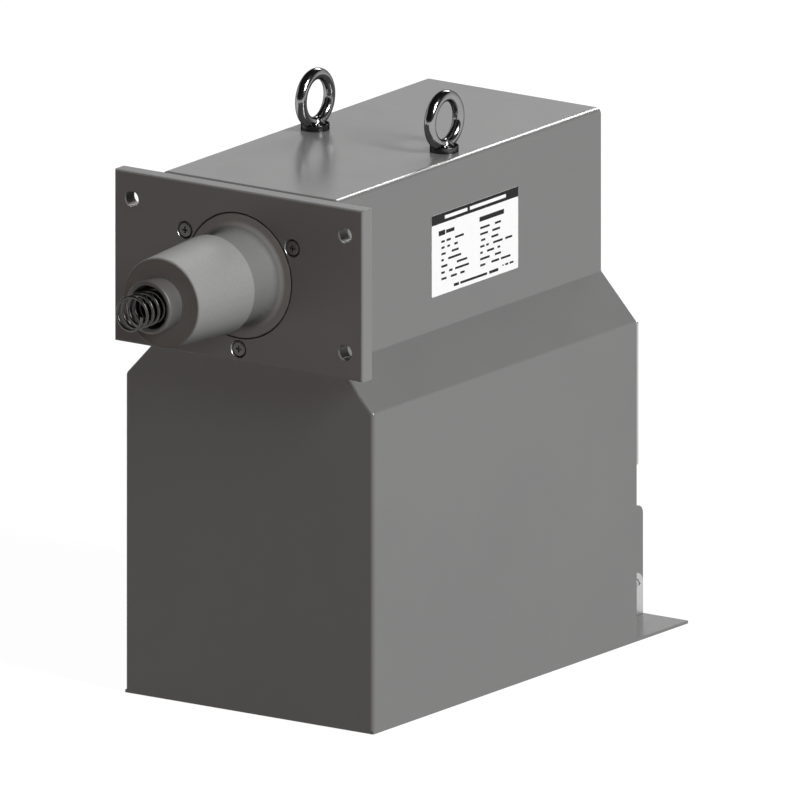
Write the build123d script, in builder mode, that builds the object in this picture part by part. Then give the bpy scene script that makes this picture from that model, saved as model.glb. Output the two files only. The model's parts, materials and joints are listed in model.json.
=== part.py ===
from build123d import *
import math
import os

os.makedirs("parts", exist_ok=True)

# Frame: +Z up, the plug-in cone points along -Y, the origin is the middle of the base plate's underside

# Casing, outside sizes
body_w = 200.0
body_d = 305.0
body_h = 360.0
wall_top = 218.0
shoulder_rise = 31.0
shoulder_in = 28.8
sheet_t = 2.0
bend_r = 4.0
front_bend_r = 2.5

# Base plate, which runs on behind the casing to carry the terminal box
base_t = 2.0
terminal_d = 59.5

# Front mounting plate and its gasket
plate_h = 117.0
plate_t = 11.0
plate_below_roof = 0.2
plate_edge_r = 1.5
gasket_t = 1.6
gasket_margin = 4.0
gasket_below = 2.5
hole_inset_x = 14.0
hole_inset_z = 18.5
hole_r = 5.5
plate_bolt_inset_x = 13.2
plate_bolt_inset_z = 12.5
plate_bolt_depth = 8.0

# Plug-in bushing: distances in front of the plate's face, and radii
disc_r = 42.3
neck_r = 31.0
neck_fillet = 6.5
cone_start = 30.0
cone_root_r = 34.0
cone_len = 89.5
cone_tip_r = 30.7
cone_rim_r = 1.5
flange_r = 45.6
flange_t = 5.0
tail_r = 34.0
tail_tip_r = 26.0
tail_len = 32.0
tail_round = 3.0
tail_clear = 3.0
disc_gap = 0.7
disc_chamfer = 0.4

# Contact sleeve and the spring in its mouth
sleeve_len = 15.5
sleeve_lip_r = 18.0
sleeve_side_r = 17.3
sleeve_body_r = 16.4
sleeve_bore_r = 14.8
sleeve_bore_depth = 40.0
sleeve_floor_t = 5.0
sleeve_lip_round = 1.2
spring_r = 12.0
spring_wire = 2.0
spring_turns = 9.25
spring_out_len = 23.7
conductor_r = 5.0
lug_w = 18.0
lug_t = 10.0
lug_corner_r = 6.0
lead_r = 3.0
lead_above_nut = 3.0

# Screws that clamp the plate and the bushing's flange to the casing
flange_screw_ring_r = 50.0
flange_screw_count = 3
flange_screw_angle = 30.0

# Metric screw sizes: shank radius, head radius, head height
m6_shank_r = 3.0
m6_pan_r = 6.0
m6_pan_h = 4.4
m6_nut_r = 5.0
m6_bolt_head_h = 4.0
m6_nut_h = 5.0
m5_shank_r = 2.5
m5_pan_r = 4.75
m5_pan_h = 3.7
m4_shank_r = 2.0
m4_pan_r = 4.0
m4_pan_h = 3.1
m3_shank_r = 1.5
m3_pan_r = 2.8
m3_pan_h = 1.8
m8_shank_r = 4.0
m8_nut_r = 6.5
m8_nut_h = 6.5
cross_arm_share = 0.62
cross_width_share = 0.2
cross_depth_share = 0.55
dome_share = 0.45

# Clearances
fit = 0.3
thread_fit = 0.15
hole_fit = 0.3
bore_fit = 0.2

# Lifting eyes on the roof
eye_inset = 19.2
eye_from_front = 151.0
eye_ring_r = 16.5
eye_wire_r = 4.0
eye_centre_h = 21.0
eye_collar_r = 10.0
eye_collar_h = 2.6
eye_neck_r = 4.6
eye_shank_r = 5.0
eye_shank_len = 15.0
lifting_bar_w = 30.0
lifting_bar_t = 12.0

# Rating label on the right upper wall
label_l = 100.0
label_h = 55.5
label_t = 0.4
label_from_front = 158.5
label_below_roof = 61.0
label_corner_r = 1.0

# Rear panel, access opening and its cover
panel_lip = 15.0
cover_z0 = 120.0
cover_inset = 0.2
cover_t = 2.3
cover_corner_r = 1.5
cover_overlap = 14.0
opening_corner_r = 7.0
cover_screw_columns = 4

# Terminal box at the rear
tbox_inset = 35.3
tbox_h = 74.8
tbox_t = 1.5
tbox_bend_r = 6.0
tcover_margin = 6.5
tcover_frame = 12.0
tcover_corner_r = 4.0

# Terminal block
block_w = 84.0
block_d = 27.0
block_base_h = 14.0
block_foot_h = 7.0
block_hole_depth = 7.0
block_rib_h = 26.0
block_rib_t = 3.0
block_from_rear = 27.0
terminal_count = 4
strip_t = 1.6
strip_w = 11.0
strip_l = 24.0
strip_screw_gap = 12.0
block_foot_w = 10.0

# Cable entry plate over a cut-out in the box, and its grommet
entry_h = 29.5
entry_l = 52.0
entry_t = 1.0
entry_setback = 1.3
entry_corner_r = 8.0
entry_screw_inset = 7.0
entry_cut_h = 21.0
entry_cut_l = 28.0
grommet_r = 8.0
grommet_flange = 2.0
grommet_bore_r = 5.0
grommet_groove = 1.0
grommet_round = 1.0

# Earth terminal on the rear panel
earth_inset = 16.0
earth_z = 98.0
earth_len = 22.0
earth_washer_r = 8.0
earth_washer_t = 1.6
earth_end_chamfer = 0.8

# Core of wound steel strip in two halves
core_from_front = 70.0
core_from_rear = 55.0
core_h = 180.0
core_limb_w = 40.0
core_stack_w = 56.0
core_outer_r = 12.0
core_inner_r = 1.5
core_pad_t = 4.0
band_t = 0.8
band_w = 19.0
clamp_h = 44.0
clamp_foot = 34.0
angle_t = 4.0
clamp_overhang = 24.0
clamp_bolt_z = 27.0
foot_stud_h = 8.0

# Windings round the front limb of the core
limb_clear = 1.6
former_t = 2.0
former_flange_t = 3.0
window_clear = 0.3
secondary_build = 7.0
barrier_t = 2.0
primary_build = 28.0
winding_gap = 0.3
primary_round = 4.0
lead_embed = 14.0
post_r = 9.0
post_h = 28.0

# Secondary leads and their grommet in the rear panel
wire_r = 1.5
wire_spacing = 4.0
wire_over_core = 10.0
wire_bend_r = 8.0
wire_drop_gap = 29.0
wire_lug_r = 3.8
wire_lug_t = 1.0
wire_lug_tail = 9.0
wire_lug_sink = 0.4
lead_grommet_h = 12.0
lead_grommet_lip = 2.0

# Worked-out places
front_y = -(body_d + terminal_d) / 2
rear_y = front_y + body_d
end_y = rear_y + terminal_d
upper_w = body_w - 2 * shoulder_in
hole_span_x = body_w - 2 * hole_inset_x
hole_span_z = plate_h - 2 * hole_inset_z
plate_bolt_span_x = upper_w - 2 * plate_bolt_inset_x
plate_bolt_span_z = plate_h - 2 * plate_bolt_inset_z
eye_span = upper_w - 2 * eye_inset
cover_w = body_w - 2 * cover_inset
tbox_w = body_w - 2 * tbox_inset
earth_x = earth_inset - body_w / 2
shoulder_top = wall_top + shoulder_rise
plate_rear_y = front_y - gasket_t
plate_y = plate_rear_y - plate_t
plate_top = body_h - plate_below_roof
axis_z = plate_top - plate_h / 2
roof_under = body_h - sheet_t
inner_y = front_y + sheet_t
core_y0 = front_y + core_from_front
core_len = body_d - core_from_front - core_from_rear
core_y1 = core_y0 + core_len
core_z0 = base_t + core_pad_t
core_z1 = core_z0 + core_h
core_mid_y = (core_y0 + core_y1) / 2
core_mid_z = (core_z0 + core_z1) / 2
limb_mid_y = core_y0 + core_limb_w / 2
window_z0 = core_z0 + core_limb_w
window_z1 = core_z1 - core_limb_w
former_out = limb_clear + former_t
secondary_in = former_out + winding_gap
secondary_out = secondary_in + secondary_build
barrier_in = secondary_out + winding_gap
barrier_out = barrier_in + barrier_t
primary_in = barrier_out + winding_gap
primary_out = primary_in + primary_build
former_top = window_z1 - window_clear
winding_z0 = window_z0 + former_flange_t + winding_gap
winding_z1 = former_top - former_flange_t - winding_gap
post_y = limb_mid_y - core_limb_w / 2 - (primary_in + primary_out) / 2
block_mid_y = end_y - block_from_rear
block_top = base_t + block_base_h
terminal_pitch = (block_w - 2 * block_foot_w - block_rib_t) / terminal_count
terminal_x = [(i - (terminal_count - 1) / 2) * terminal_pitch for i in range(terminal_count)]
seat_z = block_top + strip_t
lead_exit_z = seat_z + wire_lug_t + wire_r - wire_lug_sink
lead_grommet_w = terminal_x[-1] - terminal_x[0] + lead_grommet_h


def facing_front(y):
    """Upright sketch plane at depth y: sketch x to the right, sketch y up, normal to the front."""
    return Plane.XZ.offset(-y)


def hood_points(floor_z):
    """Corners of the casing's cross-section, from the lower right up and round to the lower left."""
    right = [
        (body_w / 2, floor_z),
        (body_w / 2, wall_top),
        (upper_w / 2, shoulder_top),
        (upper_w / 2, body_h),
    ]
    return right + [(-x, z) for x, z in reversed(right)]


def hood_face(y, inset, floor_z):
    """The casing's cross-section moved inwards by inset, with its lower edge at floor_z."""
    with BuildSketch(facing_front(y)) as face:
        with BuildLine():
            Polyline(*hood_points(floor_z - inset), close=True)
        make_face()
        if inset:
            offset(amount=-inset, kind=Kind.INTERSECTION, mode=Mode.REPLACE)
    return face.sketch


def hood_block(y0, y1, inset, floor_z, outer_r, inner_r, front_r):
    """A solid of the casing's form from y0 to y1, with rounded folds and a rounded front outline."""
    with BuildPart() as block:
        extrude(hood_face(y0, inset, floor_z), amount=y1 - y0, dir=(0, 1, 0))
        folds = block.edges().filter_by(Axis.Y).group_by(Axis.Z)
        if outer_r:
            fillet(folds[1] + folds[3], radius=outer_r)
        if inner_r:
            folds = block.edges().filter_by(Axis.Y).filter_by(
                lambda edge: abs(edge.center().Z - shoulder_top) < abs(inset) + inner_r
            )
            fillet(folds, radius=inner_r)
        if front_r:
            rim = block.faces().sort_by(Axis.Y)[0].outer_wire().edges()
            fillet(rim.filter_by(lambda edge: edge.center().Z > floor_z + front_r), radius=front_r)
    return block.part


def pan_screw(shank_r, length, head_r, head_h):
    """Cross-recess pan-head screw: seat at the origin, head along +Z, shank along -Z."""
    rim_h = head_h * (1 - dome_share)
    with BuildPart() as screw:
        with BuildSketch(Plane.XZ):
            with BuildLine():
                Polyline((0, -length), (shank_r, -length), (shank_r, 0), (head_r, 0), (head_r, rim_h))
                TangentArc((0, head_h), (head_r, rim_h), tangent=(1, 0))
                Line((0, head_h), (0, -length))
            make_face()
        revolve(axis=Axis.Z)
        with BuildSketch(Plane.XY.offset(head_h)):
            Rectangle(2 * head_r * cross_arm_share, 2 * head_r * cross_width_share)
            Rectangle(2 * head_r * cross_width_share, 2 * head_r * cross_arm_share)
        extrude(amount=-head_h * cross_depth_share, mode=Mode.SUBTRACT)
    return screw.part


def hex_bolt(shank_r, length, hex_r, head_h):
    """Hexagon bolt: seat at the origin, head along +Z, shank along -Z."""
    with BuildPart() as bolt:
        with BuildSketch():
            RegularPolygon(hex_r, 6, major_radius=False)
        extrude(amount=head_h)
        with BuildSketch():
            Circle(shank_r)
        extrude(amount=-length)
    return bolt.part


def hex_nut(bore_r, hex_r, height):
    """Hexagon nut that stands on the origin."""
    with BuildPart() as nut:
        with BuildSketch():
            RegularPolygon(hex_r, 6, major_radius=False)
            Circle(bore_r, mode=Mode.SUBTRACT)
        extrude(amount=height)
    return nut.part


to_front = (90, 0, 0)
to_rear = (-90, 0, 0)
to_right = (0, 90, 0)
to_left = (0, -90, 0)

# Base plate, and the weld studs for the core's feet
foot_stud_x = core_stack_w / 2 + angle_t + (clamp_foot - angle_t) / 2
foot_stud_places = [
    (x, y)
    for x in (-foot_stud_x, foot_stud_x)
    for y in (core_y0 - clamp_overhang / 2, core_y1 + clamp_overhang / 2)
]
with BuildPart() as base_plate:
    with BuildSketch():
        with Locations((0, (front_y + end_y) / 2)):
            Rectangle(body_w, end_y - front_y)
    extrude(amount=base_t)
base_plate.part.label = "base_plate"
export_step(base_plate.part, "parts/base_plate.step")

with BuildPart() as foot_studs:
    with BuildSketch(Plane.XY.offset(base_t)):
        with Locations(*foot_stud_places):
            Circle(m6_shank_r)
    extrude(amount=angle_t + foot_stud_h)
foot_studs.part.label = "foot_studs"
export_step(foot_studs.part, "parts/foot_studs.step")

# Casing shell, folded from one sheet: front, side walls, shoulders, upper walls and roof
eye_y = front_y + eye_from_front
eye_places = [(-eye_span / 2, eye_y), (eye_span / 2, eye_y)]
tail_hole_r = tail_r + tail_clear
plate_bolt_places = [
    (x, axis_z + z)
    for x in (-plate_bolt_span_x / 2, plate_bolt_span_x / 2)
    for z in (-plate_bolt_span_z / 2, plate_bolt_span_z / 2)
]
flange_screw_turns = [
    math.radians(flange_screw_angle + i * 360 / flange_screw_count) for i in range(flange_screw_count)
]
flange_screw_places = [
    (flange_screw_ring_r * math.cos(turn), axis_z + flange_screw_ring_r * math.sin(turn))
    for turn in flange_screw_turns
]
with BuildPart() as casing_shell:
    add(hood_block(front_y, rear_y, 0, base_t, bend_r, bend_r - sheet_t, front_bend_r))
    add(
        hood_block(
            inner_y, inner_y + body_d, sheet_t, 0, bend_r - sheet_t, bend_r, front_bend_r - sheet_t
        ),
        mode=Mode.SUBTRACT,
    )
    with BuildSketch(facing_front(front_y)):
        with Locations((0, axis_z)):
            Circle(tail_hole_r)
        with Locations(*plate_bolt_places, *flange_screw_places):
            Circle(m6_shank_r + hole_fit)
    extrude(amount=-sheet_t, mode=Mode.SUBTRACT)
    with Locations(*[(x, y, body_h) for x, y in eye_places]):
        Hole(eye_shank_r + hole_fit, depth=2 * sheet_t)
casing_shell.part.label = "casing_shell"
export_step(casing_shell.part, "parts/casing_shell.step")

# Rear panel, a shallow tray welded inside the casing's rear edge
opening_w = cover_w - 2 * cover_overlap
opening_h = wall_top - cover_z0 - 2 * cover_overlap
cover_mid_z = (cover_z0 + wall_top) / 2
cover_screw_places = [
    (x * (cover_w - cover_overlap) / (cover_screw_columns - 1), z)
    for x in [i - (cover_screw_columns - 1) / 2 for i in range(cover_screw_columns)]
    for z in (cover_z0 + cover_overlap / 2, wall_top - cover_overlap / 2)
]
with BuildPart() as rear_panel:
    add(hood_block(rear_y - panel_lip, rear_y, sheet_t + fit, base_t, bend_r - sheet_t, bend_r, 0))
    add(
        hood_block(rear_y - panel_lip, rear_y - sheet_t, 2 * sheet_t + fit, base_t + sheet_t, 0, bend_r, 0),
        mode=Mode.SUBTRACT,
    )
    with BuildSketch(facing_front(rear_y)):
        with Locations((0, cover_mid_z)):
            RectangleRounded(opening_w, opening_h, opening_corner_r)
        with Locations(*cover_screw_places):
            Circle(m5_shank_r + thread_fit)
        with Locations((0, lead_exit_z)):
            SlotOverall(lead_grommet_w, lead_grommet_h)
        with Locations((earth_x, earth_z)):
            Circle(m8_shank_r + thread_fit)
    extrude(amount=sheet_t, mode=Mode.SUBTRACT)
rear_panel.part.label = "rear_panel"
export_step(rear_panel.part, "parts/rear_panel.step")

# Light cover plate over the rear opening
with BuildPart() as rear_cover:
    with BuildSketch(facing_front(rear_y)):
        with Locations((0, cover_mid_z)):
            RectangleRounded(cover_w, wall_top - cover_z0, cover_corner_r)
        with Locations(*cover_screw_places):
            Circle(m5_shank_r + hole_fit, mode=Mode.SUBTRACT)
    extrude(amount=-cover_t)
rear_cover.part.label = "rear_cover"
export_step(rear_cover.part, "parts/rear_cover.step")

with BuildPart() as rear_cover_screws:
    with Locations(*[Location((x, rear_y + cover_t, z), to_rear) for x, z in cover_screw_places]):
        add(pan_screw(m5_shank_r, cover_t + sheet_t + m5_shank_r, m5_pan_r, m5_pan_h))
rear_cover_screws.part.label = "rear_cover_screws"
export_step(rear_cover_screws.part, "parts/rear_cover_screws.step")

# Front mounting plate
hole_places = [
    (x, axis_z + z)
    for x in (-hole_span_x / 2, hole_span_x / 2)
    for z in (-hole_span_z / 2, hole_span_z / 2)
]
disc_bore_r = disc_r + disc_gap
with BuildPart() as mounting_plate:
    with BuildSketch(facing_front(plate_rear_y)):
        with Locations((0, axis_z)):
            Rectangle(body_w, plate_h)
    extrude(amount=plate_t)
    fillet(mounting_plate.faces().sort_by(Axis.Y)[0].edges(), radius=plate_edge_r)
    with BuildSketch(facing_front(plate_y)):
        with Locations((0, axis_z)):
            Circle(disc_bore_r)
        with Locations(*hole_places):
            Circle(hole_r)
        with Locations(*flange_screw_places):
            Circle(m6_shank_r + hole_fit)
    extrude(amount=-plate_t, mode=Mode.SUBTRACT)
    with BuildSketch(facing_front(plate_y)):
        with Locations(*flange_screw_places):
            Circle(m6_pan_r + hole_fit)
    extrude(amount=-m6_pan_h, mode=Mode.SUBTRACT)
    with BuildSketch(facing_front(plate_rear_y)):
        with Locations((0, axis_z)):
            Circle(flange_r + disc_gap)
    extrude(amount=flange_t, mode=Mode.SUBTRACT)
    with BuildSketch(facing_front(plate_rear_y)):
        with Locations(*plate_bolt_places):
            Circle(m6_shank_r + thread_fit)
    extrude(amount=plate_bolt_depth, mode=Mode.SUBTRACT)
    mouth = mounting_plate.edges().filter_by(GeomType.CIRCLE).filter_by(
        lambda edge: abs(edge.radius - disc_bore_r) < disc_gap
    )
    chamfer(mouth.sort_by(Axis.Y)[0], length=disc_chamfer)
mounting_plate.part.label = "mounting_plate"
export_step(mounting_plate.part, "parts/mounting_plate.step")

gasket_z0 = plate_top - plate_h + gasket_below
gasket_z1 = body_h - gasket_margin
with BuildPart() as plate_gasket:
    with BuildSketch(facing_front(front_y)):
        with Locations((0, (gasket_z0 + gasket_z1) / 2)):
            Rectangle(upper_w - 2 * gasket_margin, gasket_z1 - gasket_z0)
        with Locations((0, axis_z)):
            Circle(tail_hole_r, mode=Mode.SUBTRACT)
        with Locations(*plate_bolt_places, *flange_screw_places):
            Circle(m6_shank_r + hole_fit, mode=Mode.SUBTRACT)
    extrude(amount=gasket_t)
plate_gasket.part.label = "plate_gasket"
export_step(plate_gasket.part, "parts/plate_gasket.step")

with BuildPart() as plate_bolts:
    with Locations(*[Location((x, front_y + sheet_t, z), to_rear) for x, z in plate_bolt_places]):
        add(hex_bolt(m6_shank_r, sheet_t + gasket_t + plate_bolt_depth - fit, m6_nut_r, m6_bolt_head_h))
plate_bolts.part.label = "plate_bolts"
export_step(plate_bolts.part, "parts/plate_bolts.step")

# Cast-resin bushing, turned about the cone's axis: sketch x is the radius, sketch y runs to the front
cone_plane = Plane(origin=(0, plate_y, axis_z), x_dir=(1, 0, 0), z_dir=(0, 0, -1))
cone_axis = Axis((0, plate_y, axis_z), (0, -1, 0))
flange_back = -plate_t
flange_front = flange_back + flange_t
tail_back = flange_back - tail_len
sleeve_front = cone_len + sleeve_len
sleeve_floor = sleeve_front - sleeve_bore_depth
sleeve_back = sleeve_floor - sleeve_floor_t
with BuildPart() as bushing:
    with BuildSketch(cone_plane):
        with BuildLine():
            Polyline(
                (sleeve_body_r + bore_fit, cone_len),
                (cone_tip_r, cone_len),
                (cone_root_r, cone_start),
                (neck_r, cone_start),
                (neck_r, neck_fillet),
            )
            RadiusArc((neck_r, neck_fillet), (neck_r + neck_fillet, 0), -neck_fillet)
            Polyline(
                (neck_r + neck_fillet, 0),
                (disc_r, 0),
                (disc_r, flange_front),
                (flange_r, flange_front),
                (flange_r, flange_back),
                (tail_r, flange_back),
                (tail_tip_r, tail_back),
                (conductor_r + bore_fit, tail_back),
                (conductor_r + bore_fit, sleeve_back),
                (sleeve_body_r + bore_fit, sleeve_back),
                (sleeve_body_r + bore_fit, cone_len),
            )
        make_face()
    revolve(axis=cone_axis)
    rims = bushing.edges().filter_by(GeomType.CIRCLE)
    fillet(rims.filter_by(lambda edge: abs(edge.radius - cone_tip_r) < fit), radius=cone_rim_r)
    rims = bushing.edges().filter_by(GeomType.CIRCLE)
    fillet(rims.filter_by(lambda edge: abs(edge.radius - tail_tip_r) < fit), radius=tail_round)
    rims = bushing.edges().filter_by(GeomType.CIRCLE)
    disc_rim = rims.filter_by(lambda edge: abs(edge.radius - disc_r) < disc_gap / 2)
    chamfer(disc_rim.sort_by(Axis.Y)[0], length=disc_chamfer)
bushing.part.label = "bushing"
export_step(bushing.part, "parts/bushing.step")

flange_screw_len = plate_t + gasket_t + sheet_t + m6_nut_h - m6_pan_h
with BuildPart() as flange_screws:
    with Locations(*[Location((x, plate_y + m6_pan_h, z), to_front) for x, z in flange_screw_places]):
        add(pan_screw(m6_shank_r, flange_screw_len, m6_pan_r, m6_pan_h))
flange_screws.part.label = "flange_screws"
export_step(flange_screws.part, "parts/flange_screws.step")

with BuildPart() as flange_nuts:
    with Locations(*[Location((x, inner_y, z), to_rear) for x, z in flange_screw_places]):
        add(hex_nut(m6_shank_r + thread_fit, m6_nut_r, m6_nut_h))
flange_nuts.part.label = "flange_nuts"
export_step(flange_nuts.part, "parts/flange_nuts.step")

# Contact sleeve: a turned cup with a flared lip, pressed into the cone's tip
with BuildPart() as contact_sleeve:
    with BuildSketch(cone_plane):
        with BuildLine():
            lip_y = sleeve_front - 2 * sleeve_lip_round
            Polyline(
                (0, sleeve_back),
                (sleeve_body_r, sleeve_back),
                (sleeve_body_r, cone_len),
                (sleeve_side_r, cone_len),
            )
            Spline((sleeve_side_r, cone_len), (sleeve_lip_r, lip_y), tangents=((0, 1), (0, 1)))
            lip_mid = (sleeve_lip_r + sleeve_bore_r) / 2
            ThreePointArc((sleeve_lip_r, lip_y), (lip_mid, sleeve_front), (sleeve_bore_r, lip_y))
            Polyline(
                (sleeve_bore_r, lip_y),
                (sleeve_bore_r, sleeve_floor),
                (0, sleeve_floor),
                (0, sleeve_back),
            )
        make_face()
    revolve(axis=cone_axis)
contact_sleeve.part.label = "contact_sleeve"
export_step(contact_sleeve.part, "parts/contact_sleeve.step")

# Contact spring, a helical coil of round wire seated on the sleeve's floor
spring_mean_r = spring_r - spring_wire / 2
spring_h = sleeve_bore_depth + spring_out_len - spring_wire
with BuildPart() as contact_spring:
    with BuildLine() as coil:
        Helix(
            pitch=spring_h / spring_turns,
            height=spring_h,
            radius=spring_mean_r,
            center=(0, plate_y - sleeve_floor - spring_wire / 2, axis_z),
            direction=(0, -1, 0),
        )
    with BuildSketch(Plane(origin=coil.line @ 0, z_dir=coil.line % 0)):
        Circle(spring_wire / 2)
    sweep(path=coil.line, is_frenet=True)
contact_spring.part.label = "contact_spring"
export_step(contact_spring.part, "parts/contact_spring.step")

# High-voltage conductor through the bushing, with a flat lug at its inner end
conductor_back_y = plate_y - tail_back
lug_len = post_y + lug_w / 2 - conductor_back_y
with BuildPart() as hv_conductor:
    with BuildSketch(facing_front(conductor_back_y)):
        with Locations((0, axis_z)):
            Circle(conductor_r)
    extrude(amount=sleeve_back - tail_back)
    with BuildSketch(facing_front(conductor_back_y)):
        with Locations((0, axis_z)):
            Rectangle(lug_w, lug_t)
    extrude(amount=-lug_len)
    ends = hv_conductor.edges().filter_by(Axis.Z).group_by(Axis.Y)[-1]
    fillet(ends, radius=lug_corner_r)
    with Locations((0, post_y, axis_z + lug_t / 2)):
        Hole(lead_r + thread_fit, depth=lug_t)
hv_conductor.part.label = "hv_conductor"
export_step(hv_conductor.part, "parts/hv_conductor.step")

# Core halves, cut from one rectangular ring of strip

def core_ring():
    """The whole ring of the core, standing in the YZ plane."""
    with BuildPart() as ring:
        with BuildSketch(Plane.YZ):
            with Locations((core_mid_y, core_mid_z)):
                RectangleRounded(core_len, core_h, core_outer_r)
                RectangleRounded(
                    core_len - 2 * core_limb_w, core_h - 2 * core_limb_w, core_inner_r, mode=Mode.SUBTRACT
                )
        extrude(amount=core_stack_w / 2, both=True)
    return ring.part


for half, kept in (("core_lower", Keep.BOTTOM), ("core_upper", Keep.TOP)):
    with BuildPart() as core_half:
        add(core_ring())
        split(bisect_by=Plane.XY.offset(core_mid_z), keep=kept)
    core_half.part.label = half
    export_step(core_half.part, f"parts/{half}.step")

# Steel band drawn round both halves
with BuildPart() as core_band:
    with BuildSketch(Plane.YZ):
        with Locations((core_mid_y, core_mid_z)):
            RectangleRounded(core_len + 2 * band_t, core_h + 2 * band_t, core_outer_r + band_t)
            RectangleRounded(core_len, core_h, core_outer_r, mode=Mode.SUBTRACT)
    extrude(amount=band_w / 2, both=True)
core_band.part.label = "core_band"
export_step(core_band.part, "parts/core_band.step")

# Insulating pad under the core, grooved for the band
with BuildPart() as core_pad:
    with BuildSketch(Plane.XY.offset(base_t)):
        with Locations((0, core_mid_y)):
            Rectangle(core_stack_w, core_len - 2 * core_outer_r)
    extrude(amount=core_pad_t)
    with BuildSketch(Plane.XY.offset(base_t + core_pad_t)):
        with Locations((0, core_mid_y)):
            Rectangle(band_w + 2 * fit, core_len)
    extrude(amount=-(band_t + fit), mode=Mode.SUBTRACT)
core_pad.part.label = "core_pad"
export_step(core_pad.part, "parts/core_pad.step")

# Steel angles that grip the lower limb and stand on the base plate
clamp_bolt_y = (core_y0 - clamp_overhang / 2, core_y1 + clamp_overhang / 2)
for name, side in (("core_clamp_left", -1), ("core_clamp_right", 1)):
    with BuildPart() as core_clamp:
        inner_x = side * core_stack_w / 2
        with BuildSketch(Plane.XZ.offset(-(core_y0 - clamp_overhang))):
            with BuildLine():
                Polyline(
                    (inner_x, base_t),
                    (inner_x + side * clamp_foot, base_t),
                    (inner_x + side * clamp_foot, base_t + angle_t),
                    (inner_x + side * angle_t, base_t + angle_t),
                    (inner_x + side * angle_t, base_t + clamp_h),
                    (inner_x, base_t + clamp_h),
                    close=True,
                )
            make_face()
        extrude(amount=-(core_len + 2 * clamp_overhang))
        with Locations(*[(side * foot_stud_x, y, base_t + angle_t) for x, y in foot_stud_places if x > 0]):
            Hole(m6_shank_r + hole_fit, depth=angle_t)
        with Locations(*[Location((inner_x, y, clamp_bolt_z), to_right) for y in clamp_bolt_y]):
            Hole(m6_shank_r + hole_fit, depth=2 * angle_t)
    core_clamp.part.label = name
    export_step(core_clamp.part, f"parts/{name}.step")

clamp_outer_x = core_stack_w / 2 + angle_t
with BuildPart() as clamp_bolts:
    with Locations(*[Location((clamp_outer_x, y, clamp_bolt_z), to_right) for y in clamp_bolt_y]):
        add(hex_bolt(m6_shank_r, 2 * clamp_outer_x + m6_nut_h + m6_shank_r, m6_nut_r, m6_bolt_head_h))
clamp_bolts.part.label = "clamp_bolts"
export_step(clamp_bolts.part, "parts/clamp_bolts.step")

with BuildPart() as clamp_nuts:
    with Locations(*[Location((-clamp_outer_x, y, clamp_bolt_z), to_left) for y in clamp_bolt_y]):
        add(hex_nut(m6_shank_r + thread_fit, m6_nut_r, m6_nut_h))
clamp_nuts.part.label = "clamp_nuts"
export_step(clamp_nuts.part, "parts/clamp_nuts.step")

with BuildPart() as foot_nuts:
    with Locations(*[(x, y, base_t + angle_t) for x, y in foot_stud_places]):
        add(hex_nut(m6_shank_r + thread_fit, m6_nut_r, m6_nut_h))
foot_nuts.part.label = "foot_nuts"
export_step(foot_nuts.part, "parts/foot_nuts.step")

# Windings: rectangular rings round the front limb, each given by its outset from the limb
wire_x = [core_stack_w / 2 + secondary_in + secondary_build / 2 + step * wire_spacing / 2 for step in (-1, 1)]
wire_xs = sorted([-x for x in wire_x] + wire_x)


def limb_ring(inner, outer, z0, z1):
    """Ring of rounded rectangular section round the front limb, from z0 to z1."""
    with BuildPart() as ring:
        with BuildSketch(Plane.XY.offset(z0)):
            with Locations((0, limb_mid_y)):
                RectangleRounded(core_stack_w + 2 * outer, core_limb_w + 2 * outer, outer)
                RectangleRounded(core_stack_w + 2 * inner, core_limb_w + 2 * inner, inner, mode=Mode.SUBTRACT)
        extrude(amount=z1 - z0)
    return ring.part


with BuildPart() as coil_former:
    add(limb_ring(limb_clear, former_out, window_z0, former_top))
    add(limb_ring(limb_clear, primary_out, window_z0, window_z0 + former_flange_t))
    add(limb_ring(limb_clear, primary_out, former_top - former_flange_t, former_top))
    with Locations((0, post_y, window_z1)):
        Hole(post_r + fit, depth=2 * former_flange_t)
    with Locations(*[(x, limb_mid_y, window_z1) for x in wire_xs]):
        Hole(wire_r + fit, depth=2 * former_flange_t)
coil_former.part.label = "coil_former"
export_step(coil_former.part, "parts/coil_former.step")

with BuildPart() as secondary_coil:
    add(limb_ring(secondary_in, secondary_out, winding_z0, winding_z1))
secondary_coil.part.label = "secondary_coil"
export_step(secondary_coil.part, "parts/secondary_coil.step")

with BuildPart() as insulation_barrier:
    add(limb_ring(barrier_in, barrier_out, winding_z0, winding_z1))
insulation_barrier.part.label = "insulation_barrier"
export_step(insulation_barrier.part, "parts/insulation_barrier.step")

# Primary winding cast in resin, with a post round the start of the high-voltage lead
lead_z0 = winding_z1 - lead_embed
with BuildPart() as primary_coil:
    add(limb_ring(primary_in, primary_out, winding_z0, winding_z1))
    fillet(primary_coil.faces().sort_by(Axis.Z)[0].outer_wire().edges(), radius=primary_round)
    fillet(primary_coil.faces().sort_by(Axis.Z)[-1].outer_wire().edges(), radius=primary_round)
    with BuildSketch(Plane.XY.offset(lead_z0)):
        with Locations((0, post_y)):
            Circle(post_r)
    extrude(amount=winding_z1 - lead_z0 + post_h)
    with BuildSketch(Plane.XY.offset(lead_z0)):
        with Locations((0, post_y)):
            Circle(lead_r + bore_fit)
    extrude(amount=winding_z1 - lead_z0 + post_h, mode=Mode.SUBTRACT)
primary_coil.part.label = "primary_coil"
export_step(primary_coil.part, "parts/primary_coil.step")

# High-voltage lead: a rod straight up from the winding and through the lug
lug_under = axis_z - lug_t / 2
lug_over = axis_z + lug_t / 2
with BuildPart() as hv_lead:
    with BuildSketch(Plane.XY.offset(lead_z0)):
        with Locations((0, post_y)):
            Circle(lead_r)
    extrude(amount=lug_over + m6_nut_h + lead_above_nut - lead_z0)
hv_lead.part.label = "hv_lead"
export_step(hv_lead.part, "parts/hv_lead.step")

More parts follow.
